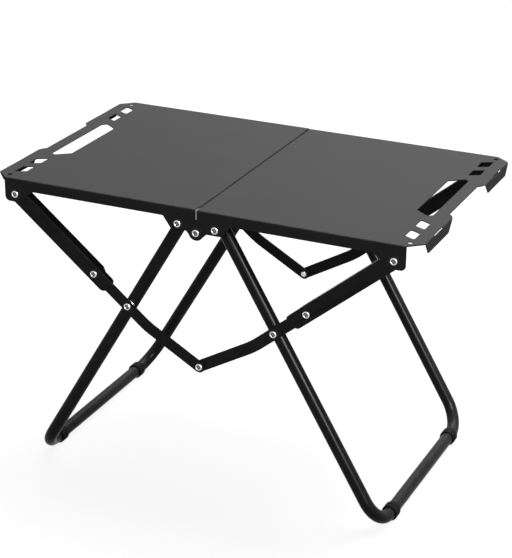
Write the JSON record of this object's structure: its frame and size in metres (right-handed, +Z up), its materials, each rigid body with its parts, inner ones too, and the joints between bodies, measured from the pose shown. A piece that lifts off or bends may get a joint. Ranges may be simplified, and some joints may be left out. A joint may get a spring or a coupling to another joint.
{
  "type": "folding camping table",
  "caption": "Low rectangular folding table with two sheet steel tops hinged in the middle, carrying slots, hanging holes and U shaped tube legs braced by links and bars.",
  "frame": {"origin": "on the floor, under the middle of the table", "axes": "+X along the table, +Y across it, +Z up"},
  "size_m": [0.606, 0.3736, 0.421],
  "materials": {
    "powder_coat": "matte powder coat on sheet steel",
    "black_enamel": "satin black enamel on steel",
    "zinc_rivet": "bright zinc plate",
    "rubber": "matte black rubber"
  },
  "bodies": {
    "left_top": {"left_top_panel": "powder_coat", "near_hinge_rivet": "zinc_rivet", "far_hinge_rivet": "zinc_rivet", "left_near_leg_pivot_rivet": "zinc_rivet", "left_near_leg_pivot_spacer": "black_enamel", "left_near_corner_rivet": "zinc_rivet", "left_far_leg_pivot_rivet": "zinc_rivet", "left_far_leg_pivot_spacer": "black_enamel", "left_far_corner_rivet": "zinc_rivet", "left_far_corner_washer": "zinc_rivet"},
    "right_top": {"right_top_panel": "powder_coat", "right_near_leg_pivot_rivet": "zinc_rivet", "right_near_leg_pivot_spacer": "black_enamel", "right_near_corner_rivet": "zinc_rivet", "right_near_corner_washer": "zinc_rivet", "right_far_leg_pivot_rivet": "zinc_rivet", "right_far_leg_pivot_spacer": "black_enamel", "right_far_corner_rivet": "zinc_rivet"},
    "left_leg": {"left_leg_tube": "black_enamel", "left_near_foot_sleeve": "rubber", "left_near_cross_rivet_end": "zinc_rivet", "left_far_foot_sleeve": "rubber", "left_far_cross_rivet_end": "zinc_rivet"},
    "right_leg": {"right_leg_tube": "black_enamel", "right_near_foot_sleeve": "rubber", "right_near_cross_rivet_end": "zinc_rivet", "right_far_foot_sleeve": "rubber", "right_far_cross_rivet_end": "zinc_rivet"},
    "left_near_link": {"left_near_link": "black_enamel", "left_near_elbow_rivet": "zinc_rivet", "left_near_elbow_bush": "zinc_rivet"},
    "left_near_bar": {"left_near_bar": "black_enamel", "left_near_cross_rivet": "zinc_rivet", "left_near_cross_spacer": "zinc_rivet", "left_near_bottom_rivet": "zinc_rivet"},
    "left_far_link": {"left_far_link": "black_enamel", "left_far_elbow_rivet": "zinc_rivet", "left_far_elbow_bush": "zinc_rivet"},
    "left_far_bar": {"left_far_bar": "black_enamel", "left_far_cross_rivet": "zinc_rivet", "left_far_bottom_rivet_end": "zinc_rivet"},
    "right_near_link": {"right_near_link": "black_enamel", "right_near_elbow_rivet": "zinc_rivet", "right_near_elbow_bush": "zinc_rivet"},
    "right_near_bar": {"right_near_bar": "black_enamel", "right_near_cross_rivet": "zinc_rivet", "right_near_bottom_rivet_end": "zinc_rivet"},
    "right_far_link": {"right_far_link": "black_enamel", "right_far_elbow_rivet": "zinc_rivet", "right_far_elbow_bush": "zinc_rivet"},
    "right_far_bar": {"right_far_bar": "black_enamel", "right_far_cross_rivet": "zinc_rivet", "right_far_cross_spacer": "zinc_rivet", "right_far_bottom_rivet": "zinc_rivet"}
  },
  "joints": [
    {"name": "panel_fold", "type": "hinge", "parent": "left_top", "child": "right_top", "pos_m": [0, 0, 0.3898], "axis": [0, 1, 0], "range_deg": [0, 175]},
    {"name": "left_leg_fold", "type": "hinge", "parent": "left_top", "child": "left_leg", "pos_m": [-0.027, 0, 0.3978], "axis": [0, 1, 0], "range_deg": [0, 58.9]},
    {"name": "left_near_link_swing", "type": "hinge", "parent": "left_top", "child": "left_near_link", "pos_m": [-0.269, 0, 0.399], "axis": [0, 1, 0], "range_deg": [-39, 0]},
    {"name": "left_near_elbow", "type": "hinge", "parent": "left_near_link", "child": "left_near_bar", "pos_m": [-0.15342, 0, 0.30405], "axis": [0, 1, 0], "range_deg": [0, 177.8]},
    {"name": "left_far_link_swing", "type": "hinge", "parent": "left_top", "child": "left_far_link", "pos_m": [-0.269, 0, 0.399], "axis": [0, 1, 0], "range_deg": [-39, 0]},
    {"name": "left_far_elbow", "type": "hinge", "parent": "left_far_link", "child": "left_far_bar", "pos_m": [-0.15342, 0, 0.30405], "axis": [0, 1, 0], "range_deg": [0, 177.8]},
    {"name": "right_leg_fold", "type": "hinge", "parent": "right_top", "child": "right_leg", "pos_m": [0.027, 0, 0.3978], "axis": [0, 1, 0], "range_deg": [-58.9, 0]},
    {"name": "right_near_link_swing", "type": "hinge", "parent": "right_top", "child": "right_near_link", "pos_m": [0.269, 0, 0.399], "axis": [0, 1, 0], "range_deg": [0, 39]},
    {"name": "right_near_elbow", "type": "hinge", "parent": "right_near_link", "child": "right_near_bar", "pos_m": [0.15342, 0, 0.30405], "axis": [0, 1, 0], "range_deg": [-177.8, 0]},
    {"name": "right_far_link_swing", "type": "hinge", "parent": "right_top", "child": "right_far_link", "pos_m": [0.269, 0, 0.399], "axis": [0, 1, 0], "range_deg": [0, 39]},
    {"name": "right_far_elbow", "type": "hinge", "parent": "right_far_link", "child": "right_far_bar", "pos_m": [0.15342, 0, 0.30405], "axis": [0, 1, 0], "range_deg": [-177.8, 0]}
  ],
  "couplings": [
    {"joint": "left_leg_fold", "follows": "panel_fold", "ratio": 0.33472},
    {"joint": "left_near_link_swing", "follows": "panel_fold", "ratio": -0.22112},
    {"joint": "left_near_elbow", "follows": "panel_fold", "ratio": 1.0145},
    {"joint": "left_far_link_swing", "follows": "panel_fold", "ratio": -0.22112},
    {"joint": "left_far_elbow", "follows": "panel_fold", "ratio": 1.0145},
    {"joint": "right_leg_fold", "follows": "panel_fold", "ratio": -0.33472},
    {"joint": "right_near_link_swing", "follows": "panel_fold", "ratio": 0.22112},
    {"joint": "right_near_elbow", "follows": "panel_fold", "ratio": -1.0145},
    {"joint": "right_far_link_swing", "follows": "panel_fold", "ratio": 0.22112},
    {"joint": "right_far_elbow", "follows": "panel_fold", "ratio": -1.0145}
  ]
}
